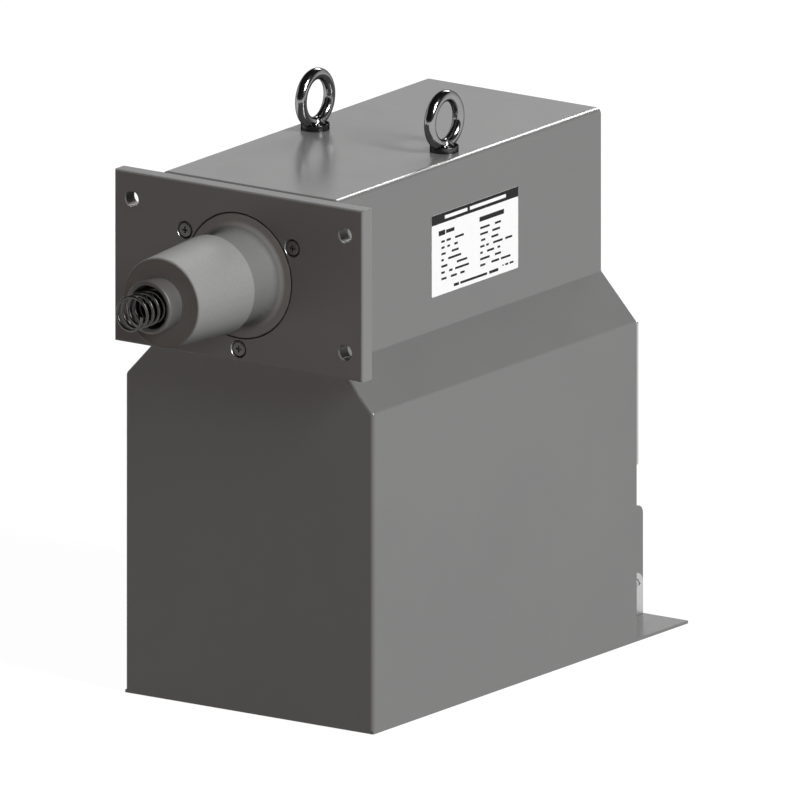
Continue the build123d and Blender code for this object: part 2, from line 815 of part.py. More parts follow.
with BuildPart() as lead_nuts:
    with Locations((0, post_y, lug_over), (0, post_y, lug_under - m6_nut_h)):
        add(hex_nut(lead_r + thread_fit, m6_nut_r, m6_nut_h))
lead_nuts.part.label = "lead_nuts"
export_step(lead_nuts.part, "parts/lead_nuts.step")

# Terminal box: a folded cap without floor or front, with a framed opening at the rear
tbox_top = base_t + tbox_h
tbox_end_y = end_y - tbox_t
tbox_mid_y = (rear_y + tbox_end_y) / 2
tbox_mid_z = (base_t + tbox_top) / 2
tcover_w = tbox_w - 2 * tcover_margin
tcover_h = tbox_h - 2 * tcover_margin
topen_w = tcover_w - 2 * tcover_frame
topen_h = tcover_h - 2 * tcover_frame
tcover_screw_places = [
    (x, tbox_mid_z + z)
    for x in (-(tcover_w - tcover_frame) / 2, (tcover_w - tcover_frame) / 2)
    for z in (-(tcover_h - tcover_frame) / 2, (tcover_h - tcover_frame) / 2)
]
entry_y1 = tbox_end_y - entry_setback
entry_mid_y = entry_y1 - entry_l / 2
entry_mid_z = base_t + entry_h / 2
entry_screw_places = [
    (y, base_t + entry_h - entry_screw_inset)
    for y in (entry_mid_y - entry_l / 2 + entry_screw_inset, entry_mid_y + entry_l / 2 - entry_screw_inset)
]
with BuildPart() as terminal_box:
    with BuildSketch(Plane.XY.offset(base_t)):
        with Locations((0, tbox_mid_y)):
            Rectangle(tbox_w, tbox_end_y - rear_y)
    extrude(amount=tbox_h)
    top_rear = terminal_box.edges().filter_by(Axis.X).group_by(Axis.Z)[-1].sort_by(Axis.Y)[-1]
    fillet(top_rear, radius=tbox_bend_r)
    with BuildSketch(Plane.YZ.offset(-tbox_w / 2 + tbox_t)):
        with BuildLine():
            Polyline(
                (rear_y, base_t),
                (tbox_end_y - tbox_t, base_t),
                (tbox_end_y - tbox_t, tbox_top - tbox_t),
                (rear_y, tbox_top - tbox_t),
                close=True,
            )
        make_face()
    extrude(amount=tbox_w - 2 * tbox_t, mode=Mode.SUBTRACT)
    with BuildSketch(facing_front(tbox_end_y)):
        with Locations((0, tbox_mid_z)):
            RectangleRounded(topen_w, topen_h, tcover_corner_r)
        with Locations(*tcover_screw_places):
            Circle(m4_shank_r + thread_fit)
    extrude(amount=2 * tbox_t, mode=Mode.SUBTRACT)
    with BuildSketch(Plane.YZ.offset(tbox_w / 2)):
        with Locations((entry_mid_y, entry_mid_z)):
            Rectangle(entry_cut_l, entry_cut_h)
        with Locations(*entry_screw_places):
            Circle(m3_shank_r + thread_fit)
    extrude(amount=-2 * tbox_t, mode=Mode.SUBTRACT)
terminal_box.part.label = "terminal_box"
export_step(terminal_box.part, "parts/terminal_box.step")

with BuildPart() as terminal_cover:
    with BuildSketch(facing_front(tbox_end_y)):
        with Locations((0, tbox_mid_z)):
            RectangleRounded(tcover_w, tcover_h, tcover_corner_r)
        with Locations(*tcover_screw_places):
            Circle(m4_shank_r + hole_fit, mode=Mode.SUBTRACT)
    extrude(amount=-tbox_t)
terminal_cover.part.label = "terminal_cover"
export_step(terminal_cover.part, "parts/terminal_cover.step")

with BuildPart() as terminal_cover_screws:
    with Locations(*[Location((x, end_y, z), to_rear) for x, z in tcover_screw_places]):
        add(pan_screw(m4_shank_r, 2 * tbox_t + m4_shank_r, m4_pan_r, m4_pan_h))
terminal_cover_screws.part.label = "terminal_cover_screws"
export_step(terminal_cover_screws.part, "parts/terminal_cover_screws.step")

# Cable entry plate on the right wall of the box, with its rubber grommet
with BuildPart() as cable_entry_plate:
    with BuildSketch(Plane.YZ.offset(tbox_w / 2)):
        with Locations((entry_mid_y, entry_mid_z)):
            Rectangle(entry_l, entry_h)
            Circle(grommet_r, mode=Mode.SUBTRACT)
        with Locations(*entry_screw_places):
            Circle(m3_shank_r + hole_fit, mode=Mode.SUBTRACT)
    extrude(amount=entry_t)
    top_corners = cable_entry_plate.edges().filter_by(Axis.X).group_by(Axis.Z)[-1]
    fillet(top_corners, radius=entry_corner_r)
cable_entry_plate.part.label = "cable_entry_plate"
export_step(cable_entry_plate.part, "parts/cable_entry_plate.step")

with BuildPart() as entry_plate_screws:
    with Locations(*[Location((tbox_w / 2 + entry_t, y, z), to_right) for y, z in entry_screw_places]):
        add(pan_screw(m3_shank_r, entry_t + tbox_t + m3_shank_r, m3_pan_r, m3_pan_h))
entry_plate_screws.part.label = "entry_plate_screws"
export_step(entry_plate_screws.part, "parts/entry_plate_screws.step")

grommet_in_x = tbox_w / 2
grommet_out_x = grommet_in_x + entry_t
with BuildPart() as cable_grommet:
    with BuildSketch(Plane.YZ.offset(grommet_in_x - grommet_flange)):
        with Locations((entry_mid_y, entry_mid_z)):
            Circle(grommet_r - grommet_groove)
    extrude(amount=grommet_out_x - grommet_in_x + 2 * grommet_flange)
    for inner_face in (grommet_in_x - grommet_flange, grommet_out_x):
        with BuildSketch(Plane.YZ.offset(inner_face)):
            with Locations((entry_mid_y, entry_mid_z)):
                Circle(grommet_r + grommet_flange)
        extrude(amount=grommet_flange)
    outer_rim = cable_grommet.faces().sort_by(Axis.X)[-1].edges()
    fillet(outer_rim, radius=grommet_round)
    with BuildSketch(Plane.YZ.offset(grommet_in_x - grommet_flange)):
        with Locations((entry_mid_y, entry_mid_z)):
            Circle(grommet_bore_r)
    extrude(amount=grommet_out_x - grommet_in_x + 2 * grommet_flange, mode=Mode.SUBTRACT)
cable_grommet.part.label = "cable_grommet"
export_step(cable_grommet.part, "parts/cable_grommet.step")

# Terminal block on the base plate, with barrier ribs between the terminals
strip_screw_dy = strip_screw_gap / 2
lug_screw_places = [(x, block_mid_y - strip_screw_dy) for x in terminal_x]
free_screw_places = [(x, block_mid_y + strip_screw_dy) for x in terminal_x]
block_screw_places = [(side * (block_w - block_foot_w) / 2, block_mid_y) for side in (-1, 1)]
block_foot_top = base_t + block_foot_h
with BuildPart() as terminal_block:
    with BuildSketch(Plane.XY.offset(base_t)):
        with Locations((0, block_mid_y)):
            Rectangle(block_w, block_d)
    extrude(amount=block_foot_h)
    with BuildSketch(Plane.XY.offset(base_t)):
        with Locations((0, block_mid_y)):
            Rectangle(block_w - 2 * block_foot_w, block_d)
    extrude(amount=block_base_h)
    with BuildSketch(Plane.XY.offset(block_top)):
        with Locations((0, block_mid_y)):
            with GridLocations(terminal_pitch, block_d, terminal_count + 1, 1):
                Rectangle(block_rib_t, block_d)
    extrude(amount=block_rib_h - block_base_h)
    with Locations(*[(x, y, block_foot_top) for x, y in block_screw_places]):
        Hole(m4_shank_r + hole_fit, depth=block_foot_h)
    with Locations(*[(x, y, block_top) for x, y in lug_screw_places + free_screw_places]):
        Hole(m4_shank_r + thread_fit, depth=block_hole_depth)
terminal_block.part.label = "terminal_block"
export_step(terminal_block.part, "parts/terminal_block.step")

with BuildPart() as terminal_strips:
    with BuildSketch(Plane.XY.offset(block_top)):
        with Locations(*[(x, block_mid_y) for x in terminal_x]):
            Rectangle(strip_w, strip_l)
        with Locations(*lug_screw_places, *free_screw_places):
            Circle(m4_shank_r + hole_fit, mode=Mode.SUBTRACT)
    extrude(amount=strip_t)
terminal_strips.part.label = "terminal_strips"
export_step(terminal_strips.part, "parts/terminal_strips.step")

with BuildPart() as terminal_screws:
    with Locations(*[(x, y, seat_z + wire_lug_t) for x, y in lug_screw_places]):
        add(pan_screw(m4_shank_r, wire_lug_t + strip_t + block_hole_depth - fit, m4_pan_r, m4_pan_h))
    with Locations(*[(x, y, seat_z) for x, y in free_screw_places]):
        add(pan_screw(m4_shank_r, strip_t + block_hole_depth - fit, m4_pan_r, m4_pan_h))
terminal_screws.part.label = "terminal_screws"
export_step(terminal_screws.part, "parts/terminal_screws.step")

with BuildPart() as block_screws:
    with Locations(*[(x, y, block_foot_top) for x, y in block_screw_places]):
        add(pan_screw(m4_shank_r, block_foot_h, m4_pan_r, m4_pan_h))
block_screws.part.label = "block_screws"
export_step(block_screws.part, "parts/block_screws.step")

# Secondary leads: up out of the winding, back over the core, down behind it and out to ring lugs
wire_top_z = core_z1 + wire_over_core
wire_drop_y = core_y1 + wire_drop_gap
lug_screw_y = block_mid_y - strip_screw_dy
wire_end_y = lug_screw_y - m4_pan_r - fit
with BuildPart() as secondary_leads:
    for start_x, end_x in zip(wire_xs, terminal_x):
        with BuildLine() as route:
            FilletPolyline(
                (start_x, limb_mid_y, winding_z1),
                (start_x, limb_mid_y, wire_top_z),
                (end_x, wire_drop_y, wire_top_z),
                (end_x, wire_drop_y, lead_exit_z),
                (end_x, wire_end_y, lead_exit_z),
                radius=wire_bend_r,
            )
        with BuildSketch(Plane(origin=route.line @ 0, z_dir=route.line % 0)):
            Circle(wire_r)
        sweep(path=route.line)
    with BuildSketch(Plane.XY.offset(seat_z)):
        with Locations(*[(x, lug_screw_y - wire_lug_tail / 2) for x in terminal_x]):
            Rectangle(2 * wire_r, wire_lug_tail)
        with Locations(*lug_screw_places):
            Circle(wire_lug_r)
            Circle(m4_shank_r + hole_fit, mode=Mode.SUBTRACT)
    extrude(amount=wire_lug_t)
secondary_leads.part.label = "secondary_leads"
export_step(secondary_leads.part, "parts/secondary_leads.step")

lip_w = lead_grommet_w + 2 * lead_grommet_lip
lip_h = lead_grommet_h + 2 * lead_grommet_lip
with BuildPart() as lead_grommet:
    with BuildSketch(facing_front(rear_y)):
        with Locations((0, lead_exit_z)):
            SlotOverall(lead_grommet_w - 2 * fit, lead_grommet_h - 2 * fit)
    extrude(amount=sheet_t)
    with BuildSketch(facing_front(rear_y)):
        with Locations((0, lead_exit_z)):
            SlotOverall(lip_w, lip_h)
    extrude(amount=-lead_grommet_lip)
    with BuildSketch(facing_front(rear_y - sheet_t)):
        with Locations((0, lead_exit_z)):
            SlotOverall(lip_w, lip_h)
    extrude(amount=lead_grommet_lip)
    with BuildSketch(facing_front(rear_y + lead_grommet_lip)):
        with Locations(*[(x, lead_exit_z) for x in terminal_x]):
            Circle(wire_r + bore_fit)
    extrude(amount=sheet_t + 2 * lead_grommet_lip, mode=Mode.SUBTRACT)
lead_grommet.part.label = "lead_grommet"
export_step(lead_grommet.part, "parts/lead_grommet.step")

# Earth terminal: a stud welded in the rear panel, with a washer and a nut
with BuildPart() as earth_stud:
    with BuildSketch(facing_front(rear_y - sheet_t)):
        with Locations((earth_x, earth_z)):
            Circle(m8_shank_r)
    extrude(amount=-(sheet_t + earth_len))
    with BuildSketch(facing_front(rear_y - sheet_t)):
        with Locations((earth_x, earth_z)):
            Circle(m8_nut_r)
    extrude(amount=sheet_t)
    chamfer(earth_stud.faces().sort_by(Axis.Y)[-1].edges(), length=earth_end_chamfer)
earth_stud.part.label = "earth_stud"
export_step(earth_stud.part, "parts/earth_stud.step")

with BuildPart() as earth_washer:
    with BuildSketch(facing_front(rear_y)):
        with Locations((earth_x, earth_z)):
            Circle(earth_washer_r)
            Circle(m8_shank_r + hole_fit, mode=Mode.SUBTRACT)
    extrude(amount=-earth_washer_t)
earth_washer.part.label = "earth_washer"
export_step(earth_washer.part, "parts/earth_washer.step")

with BuildPart() as earth_nut:
    with Locations(Location((earth_x, rear_y + earth_washer_t, earth_z), to_rear)):
        add(hex_nut(m8_shank_r + thread_fit, m8_nut_r, m8_nut_h))
earth_nut.part.label = "earth_nut"
export_step(earth_nut.part, "parts/earth_nut.step")

# Ring eye bolts on the roof, screwed into a bar welded under it
for name, place in zip(("eye_bolt_left", "eye_bolt_right"), eye_places):
    ring_z = body_h + eye_centre_h
    ring_low = ring_z - eye_ring_r
    with BuildPart() as eye_bolt:
        with BuildSketch(Plane(origin=(place[0], place[1], body_h), x_dir=(1, 0, 0), z_dir=(0, -1, 0))):
            with BuildLine():
                Polyline((0, 0), (eye_collar_r, 0), (eye_collar_r, eye_collar_h))
                RadiusArc(
                    (eye_collar_r, eye_collar_h),
                    (eye_neck_r, ring_low - body_h + eye_wire_r),
                    eye_collar_r,
                )
                Polyline(
                    (eye_neck_r, ring_low - body_h + eye_wire_r),
                    (0, ring_low - body_h + eye_wire_r),
                    (0, 0),
                )
            make_face()
        revolve(axis=Axis((place[0], place[1], body_h), (0, 0, 1)))
        with BuildSketch(Plane(origin=(place[0], place[1], ring_z), x_dir=(0, 1, 0), z_dir=(0, 0, 1))):
            with Locations((eye_ring_r, 0)):
                Circle(eye_wire_r)
        revolve(axis=Axis((place[0], place[1], ring_z), (1, 0, 0)))
        with BuildSketch(Plane.XY.offset(body_h)):
            with Locations(place):
                Circle(eye_shank_r)
        extrude(amount=-eye_shank_len)
        with BuildSketch(Plane.YZ.offset(place[0] - eye_collar_r)):
            with Locations((place[1], ring_z)):
                Circle(eye_ring_r - eye_wire_r)
        extrude(amount=2 * eye_collar_r, mode=Mode.SUBTRACT)
    eye_bolt.part.label = name
    export_step(eye_bolt.part, f"parts/{name}.step")

with BuildPart() as lifting_bar:
    with BuildSketch(Plane.XY.offset(roof_under)):
        with Locations((0, eye_y)):
            Rectangle(upper_w - 2 * sheet_t - 2 * bend_r, lifting_bar_w)
    extrude(amount=-lifting_bar_t)
    with Locations(*[(x, y, roof_under) for x, y in eye_places]):
        Hole(eye_shank_r + thread_fit, depth=2 * lifting_bar_t)
lifting_bar.part.label = "lifting_bar"
export_step(lifting_bar.part, "parts/lifting_bar.step")

# Rating label, a blank sheet on the right upper wall
with BuildPart() as rating_label:
    with BuildSketch(Plane.YZ.offset(upper_w / 2)):
        with Locations((front_y + label_from_front, body_h - label_below_roof)):
            RectangleRounded(label_l, label_h, label_corner_r)
    extrude(amount=label_t)
rating_label.part.label = "rating_label"
export_step(rating_label.part, "parts/rating_label.step")
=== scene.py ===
import bpy
import json
import math
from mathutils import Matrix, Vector


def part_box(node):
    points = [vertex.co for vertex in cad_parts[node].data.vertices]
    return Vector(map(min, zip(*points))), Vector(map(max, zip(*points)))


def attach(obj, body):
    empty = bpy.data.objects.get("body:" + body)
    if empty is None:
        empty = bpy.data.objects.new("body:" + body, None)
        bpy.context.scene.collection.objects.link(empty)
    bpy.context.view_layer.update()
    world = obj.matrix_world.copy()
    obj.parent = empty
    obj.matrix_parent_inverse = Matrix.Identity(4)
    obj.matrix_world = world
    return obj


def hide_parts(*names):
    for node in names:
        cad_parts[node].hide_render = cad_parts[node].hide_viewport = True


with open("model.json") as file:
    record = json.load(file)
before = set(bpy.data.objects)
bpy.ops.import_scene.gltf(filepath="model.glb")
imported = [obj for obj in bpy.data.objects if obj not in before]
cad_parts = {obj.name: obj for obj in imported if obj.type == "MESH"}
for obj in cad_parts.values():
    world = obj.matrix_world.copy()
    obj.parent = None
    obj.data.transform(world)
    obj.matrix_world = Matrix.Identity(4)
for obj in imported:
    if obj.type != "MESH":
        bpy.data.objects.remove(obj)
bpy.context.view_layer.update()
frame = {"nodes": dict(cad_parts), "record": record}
cadNodes = frame["nodes"]
scene = bpy.context.scene
bpy.ops.object.select_all(action="DESELECT")
print("frame loaded:", len(cadNodes), "nodes")

# The camera looks down on the front and the right side, without perspective
cameraSet = {
    "target": (0.00035, -0.00821, 0.1777),
    "azimuth": 34.84,  # degrees round from the front
    "elevation": 14.25,  # degrees above level
    "distance": 3.0,
    "scale": 0.5292,  # metres across the image
    "farEnd": 300,
}


def placeCamera():
    turn = math.radians(cameraSet["azimuth"])
    rise = math.radians(cameraSet["elevation"])
    back = Vector((
        math.sin(turn) * math.cos(rise),
        -math.cos(turn) * math.cos(rise),
        math.sin(rise),
    ))
    data = bpy.data.cameras.new("viewCamera")
    data.type = "ORTHO"
    data.ortho_scale = cameraSet["scale"]
    data.clip_end = cameraSet["farEnd"]
    camera = bpy.data.objects.new("viewCamera", data)
    scene.collection.objects.link(camera)
    camera.location = Vector(cameraSet["target"]) + back * cameraSet["distance"]
    camera.rotation_mode = "QUATERNION"
    camera.rotation_quaternion = (-back).to_track_quat("-Z", "Y")
    scene.camera = camera


placeCamera()
scene.view_settings.view_transform = "Standard"
print("camera placed")


# Small helpers for shader nodes
def newMaterial(name):
    material = bpy.data.materials.new(name)
    material.use_nodes = True
    tree = material.node_tree
    shader = tree.nodes["Principled BSDF"]
    coords = tree.nodes.new("ShaderNodeTexCoord")
    return material, tree, shader, coords.outputs["Object"]


def addNode(tree, kind, inputs=None, **options):
    node = tree.nodes.new(kind)
    for option, value in options.items():
        setattr(node, option, value)
    for socket, value in (inputs or {}).items():
        if isinstance(value, bpy.types.NodeSocket):
            tree.links.new(value, node.inputs[socket])
        else:
            node.inputs[socket].default_value = value
    return node


def noise(tree, place, scale, detail=3.0, rough=0.55):
    node = addNode(tree, "ShaderNodeTexNoise", {
        "Vector": place, "Scale": scale, "Detail": detail, "Roughness": rough,
    })
    return node.outputs["Fac"]


# Most of a noise lies between 0.3 and 0.7, so that range is spread over the new one
def spread(tree, value, low, high, fromLow=0.3, fromHigh=0.7):
    node = addNode(tree, "ShaderNodeMapRange", {
        "Value": value, "From Min": fromLow, "From Max": fromHigh, "To Min": low, "To Max": high,
    })
    return node.outputs["Result"]


def combine(tree, operation, first, second):
    return addNode(tree, "ShaderNodeMath", {0: first, 1: second}, operation=operation).outputs["Value"]


def blendColours(tree, value, first, second):
    node = addNode(tree, "ShaderNodeMix", data_type="RGBA")
    tree.links.new(value, node.inputs["Factor"])
    for socket, colour in ((node.inputs[6], first), (node.inputs[7], second)):  # the two colour sockets
        if isinstance(colour, bpy.types.NodeSocket):
            tree.links.new(colour, socket)
        else:
            socket.default_value = (*colour, 1.0)
    return node.outputs[2]


def stretch(tree, place, scales, location=(0, 0, 0)):
    node = addNode(tree, "ShaderNodeMapping", {"Vector": place, "Scale": scales, "Location": location})
    return node.outputs["Vector"]


def addBump(tree, shader, height, depth, strength=1.0, under=None):
    node = addNode(tree, "ShaderNodeBump", {"Height": height, "Distance": depth, "Strength": strength})
    if under:
        tree.links.new(under.outputs["Normal"], node.inputs["Normal"])
    tree.links.new(node.outputs["Normal"], shader.inputs["Normal"])
    return node


def setShader(shader, **values):
    for socket, value in values.items():
        shader.inputs[socket.replace("_", " ")].default_value = value


# Base colour from one pattern, roughness from another
def addLook(tree, shader, pattern, colour, shade, gloss, roughness):
    tree.links.new(blendColours(tree, pattern, colour, shade), shader.inputs["Base Color"])
    tree.links.new(spread(tree, gloss, *roughness), shader.inputs["Roughness"])


finishes = {}

# Satin powder coat with fine orange peel and faint clouding; the front plate's coat is duller, and is made
# lighter as painted light on the same grey paint
powderSet = {
    "colour": (0.168, 0.168, 0.166), "cloud": (0.158, 0.158, 0.157), "cloudScale": 9.0, "glossScale": 40.0,
    "peelScale": 900.0, "peelDepth": 0.000010, "grainScale": 2600.0, "grainDepth": 0.000004,
}
coatSet = {
    "greyPaint": {"paintedLightScale": 1.0, "roughness": (0.18, 0.24), "specular": 0.5},
    # The plate's coat is the grey paint made lighter by its scale: painted light
    "platePaintedLight": {"paintedLightScale": 1.28, "roughness": (0.36, 0.44), "specular": 0.36},
}


def powderCoat(name, paintedLightScale, roughness, specular):
    material, tree, shader, place = newMaterial(name)
    setShader(shader, Specular_IOR_Level=specular)
    colour = [channel * paintedLightScale for channel in powderSet["colour"]]
    cloud = [channel * paintedLightScale for channel in powderSet["cloud"]]
    clouds = spread(tree, noise(tree, place, powderSet["cloudScale"], detail=4.0), 0, 1)
    addLook(tree, shader, clouds, colour, cloud, noise(tree, place, powderSet["glossScale"]), roughness)
    peel = noise(tree, place, powderSet["peelScale"], detail=1.5)
    grain = noise(tree, place, powderSet["grainScale"], detail=1.0)
    skin = addBump(tree, shader, peel, powderSet["peelDepth"])
    addBump(tree, shader, grain, powderSet["grainDepth"], under=skin)
    return material


for coatName, coat in coatSet.items():
    finishes[coatName] = powderCoat(coatName, **coat)

# The middle of the bushing, whose axis runs along Y, and the front face of the plate that holds it
coneAxis = sum(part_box("bushing"), Vector()) / 2
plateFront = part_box("mounting_plate")[0].y

# Cast resin with fine filler specks; the neck is darkened as painted shade, the disc face is lightened as
# painted light, and the disc's rim carries a painted shadow of the gap round it
resinSet = {
    "colour": (0.270, 0.272, 0.268), "speck": (0.253, 0.254, 0.251), "speckScale": 420.0,
    "speckSpread": (0.42, 0.72), "roughness": (0.50, 0.60), "glossScale": 60.0, "skinScale": 900.0,
    "skinDepth": 0.000003, "specular": 0.12,
    "neckPaintedShade": 0.66, "neckStart": (-0.03015, -0.02975),  # along Y, from the plate's front face
    "discPaintedLight": 1.35, "neckEnd": (-0.00135, -0.00015),
    "rimPaintedShadow": 0.62, "rimRadius": (0.0416, 0.0419),
}


def castResin():
    material, tree, shader, place = newMaterial("castResin")
    setShader(shader, Specular_IOR_Level=resinSet["specular"])
    specks = noise(tree, place, resinSet["speckScale"], detail=4.0)
    specks = spread(tree, specks, 0, 1, *resinSet["speckSpread"])
    body = blendColours(tree, specks, resinSet["colour"], resinSet["speck"])
    fromPlate = stretch(tree, place, (1, 1, 1), (0, -plateFront, 0))
    along = addNode(tree, "ShaderNodeSeparateXYZ", {0: fromPlate}).outputs["Y"]
    # Painted shade darkens the neck behind the cone, and painted light brightens the disc face at the plate
    start = spread(tree, along, 1, resinSet["neckPaintedShade"], *resinSet["neckStart"])
    end = spread(tree, along, resinSet["neckPaintedShade"], resinSet["discPaintedLight"], *resinSet["neckEnd"])
    neck = combine(tree, "MAXIMUM", start, end)
    across = stretch(tree, place, (1, 0, 1), (-coneAxis.x, 0, -coneAxis.z))
    reach = addNode(tree, "ShaderNodeVectorMath", {0: across}, operation="LENGTH").outputs["Value"]
    # Painted shadow darkens the disc's rim, where the gap round the disc lies in shade
    rim = spread(tree, reach, 1, resinSet["rimPaintedShadow"], *resinSet["rimRadius"])
    paintedShading = combine(tree, "MULTIPLY", neck, rim)
    paintedShadingOnBody = addNode(tree, "ShaderNodeVectorMath", {0: body, "Scale": paintedShading}, operation="SCALE")
    tree.links.new(paintedShadingOnBody.outputs["Vector"], shader.inputs["Base Color"])
    gloss = spread(tree, noise(tree, place, resinSet["glossScale"]), *resinSet["roughness"])
    tree.links.new(gloss, shader.inputs["Roughness"])
    addBump(tree, shader, noise(tree, place, resinSet["skinScale"], detail=2.0), resinSet["skinDepth"])
    return material


finishes["castResin"] = castResin()
wavePitch = 0.314  # pitch of the wave texture at a scale of 1

# Dark turned contact sleeve: fine rings about its axis and fine marks along it
contactSet = {
    "colour": (0.135, 0.130, 0.127), "shade": (0.110, 0.106, 0.104), "roughness": (0.42, 0.55),
    "metallic": 0.25, "patchScale": 260.0, "depth": 0.00002,
    "ringPitch": 0.0006, "ringWaver": 0.4, "ringStrength": 0.5,
    "marks": (20, 1500, 20), "markStrength": 0.6,
}


def turnedContact():
    material, tree, shader, place = newMaterial("darkContact")
    setShader(shader, Metallic=contactSet["metallic"])
    rings = addNode(tree, "ShaderNodeTexWave", {
        "Vector": stretch(tree, place, (1, 0, 1), (-coneAxis.x, 0, -coneAxis.z)),
        "Scale": wavePitch / contactSet["ringPitch"], "Distortion": contactSet["ringWaver"], "Detail": 1.0,
    }, wave_type="RINGS", rings_direction="SPHERICAL")
    marks = noise(tree, stretch(tree, place, contactSet["marks"]), 1.0, rough=0.5)
    patches = noise(tree, place, contactSet["patchScale"])
    addLook(
        tree, shader, spread(tree, marks, 0, 1), contactSet["colour"], contactSet["shade"],
        patches, contactSet["roughness"],
    )
    faces = addBump(tree, shader, rings.outputs["Fac"], contactSet["depth"], contactSet["ringStrength"])
    addBump(tree, shader, marks, contactSet["depth"], contactSet["markStrength"], faces)
    return material


finishes["darkContact"] = turnedContact()

# Plain and plated metals with uneven plating and fine scratches
metalSet = {
    "springSteel": {
        "colour": (0.090, 0.087, 0.084), "shade": (0.062, 0.060, 0.058), "roughness": (0.26, 0.38),
        "patchScale": 500.0, "metallic": 0.9,
    },
    "polishedSteel": {
        "colour": (0.34, 0.34, 0.34), "shade": (0.28, 0.28, 0.28), "roughness": (0.11, 0.18),
        "patchScale": 60.0, "scratchDepth": 0.0000015, "edgeTint": 0.2,
    },
    # The collar's steel is the polished steel made darker: painted shade and painted dark reflection where
    # it sits on the roof
    "collarPaintedShade": {
        "colour": (0.11, 0.11, 0.11), "shade": (0.07, 0.07, 0.07), "roughness": (0.22, 0.32),
        "patchScale": 240.0, "edgeTint": 0.2,
    },
    "bareAluminium": {
        "colour": (0.56, 0.56, 0.56), "shade": (0.51, 0.51, 0.51), "roughness": (0.32, 0.42),
        "patchScale": 60.0, "stretched": (0.02, 1, 1),
    },
    "darkScrews": {
        "colour": (0.165, 0.163, 0.160), "shade": (0.13, 0.128, 0.126), "roughness": (0.30, 0.42),
        "patchScale": 400.0, "metallic": 0.15,
    },
    "zincSteel": {
        "colour": (0.62, 0.62, 0.63), "shade": (0.50, 0.50, 0.51), "roughness": (0.26, 0.40),
        "patchScale": 160.0,
    },
    "brass": {
        "colour": (0.78, 0.58, 0.26), "shade": (0.62, 0.44, 0.18), "roughness": (0.22, 0.36),
        "patchScale": 140.0,
    },
}


def platedMetal(
    name, colour, shade, roughness, patchScale, scratchScale=900.0, scratchDepth=0.000006,
    stretched=(1, 1, 1), metallic=1.0, edgeTint=1.0,
):
    material, tree, shader, place = newMaterial(name)
    setShader(shader, Metallic=metallic, Specular_Tint=(edgeTint, edgeTint, edgeTint, 1.0))
    patches = spread(tree, noise(tree, place, patchScale, detail=5.0), 0, 1)
    scratches = noise(tree, stretch(tree, place, stretched), scratchScale, detail=4.0, rough=0.7)
    addLook(tree, shader, patches, colour, shade, scratches, roughness)
    addBump(tree, shader, scratches, scratchDepth)
    return material


for metalName, metal in metalSet.items():
    finishes[metalName] = platedMetal(metalName, **metal)

# Core strip and copper wire: layers seen as dark lines across one axis
layerSet = {
    "coreSteel": {
        "colour": (0.30, 0.31, 0.33), "gap": (0.08, 0.08, 0.09), "roughness": (0.35, 0.5),
        "direction": "X", "pitch": 0.0006, "depth": 0.00004,
    },
    "copperWire": {
        "colour": (0.62, 0.28, 0.12), "gap": (0.20, 0.08, 0.03), "roughness": (0.25, 0.38),
        "direction": "Z", "pitch": 0.0011, "depth": 0.0002,
    },
}


def layeredMetal(name, colour, gap, roughness, direction, pitch, depth, gapShare=0.35, glossScale=300.0):
    material, tree, shader, place = newMaterial(name)
    setShader(shader, Metallic=1.0)
    layers = addNode(tree, "ShaderNodeTexWave", {
        "Vector": place, "Scale": wavePitch / pitch, "Distortion": 0.3, "Detail": 2.0, "Detail Scale": 3.0,
    }, wave_type="BANDS", bands_direction=direction).outputs["Fac"]
    lines = spread(tree, layers, 1, 0, 0, gapShare)
    addLook(tree, shader, lines, colour, gap, noise(tree, place, glossScale), roughness)
    addBump(tree, shader, layers, depth)
    return material


for layerName, layer in layerSet.items():
    finishes[layerName] = layeredMetal(layerName, **layer)

# Rubber, moulding, board, insulation and the label's sheet and ink
dullSet = {
    "blackRubber": {
        "colour": (0.020, 0.020, 0.020), "shade": (0.034, 0.034, 0.033), "roughness": (0.60, 0.78),
        "grainScale": 900.0, "grainDepth": 0.00003,
    },
    "leadCover": {
        "colour": (0.025, 0.025, 0.027), "shade": (0.045, 0.045, 0.046), "roughness": (0.38, 0.50),
        "grainScale": 300.0, "grainDepth": 0.00001,
    },
    "mouldedBlack": {
        "colour": (0.022, 0.022, 0.023), "shade": (0.036, 0.036, 0.037), "roughness": (0.32, 0.46),
        "grainScale": 700.0, "grainDepth": 0.00002,
    },
    "pressboard": {
        "colour": (0.47, 0.33, 0.18), "shade": (0.36, 0.24, 0.12), "roughness": (0.70, 0.85),
        "grainScale": 500.0, "grainDepth": 0.00004, "stretched": (1, 1, 0.2), "specular": 0.3,
    },
    "labelSheet": {
        "colour": (0.93, 0.93, 0.93), "shade": (0.915, 0.915, 0.915), "roughness": (0.28, 0.34),
        "grainScale": 200.0, "grainDepth": 0.000001,
    },
    "labelInk": {
        "colour": (0.008, 0.008, 0.008), "shade": (0.018, 0.018, 0.018), "roughness": (0.50, 0.60),
        "grainScale": 800.0, "grainDepth": 0.000003, "specular": 0.12,
    },
}


def dullBody(
    name, colour, shade, roughness, grainScale, grainDepth, stretched=(1, 1, 1), specular=0.5,
    glossScale=90.0,
):
    material, tree, shader, place = newMaterial(name)
    setShader(shader, Specular_IOR_Level=specular)
    grain = noise(tree, stretch(tree, place, stretched), grainScale, detail=5.0, rough=0.65)
    gloss = noise(tree, place, glossScale)
    addLook(tree, shader, spread(tree, grain, 0, 1), colour, shade, gloss, roughness)
    addBump(tree, shader, grain, grainDepth)
    return material


for bodyName, body in dullSet.items():
    finishes[bodyName] = dullBody(bodyName, **body)

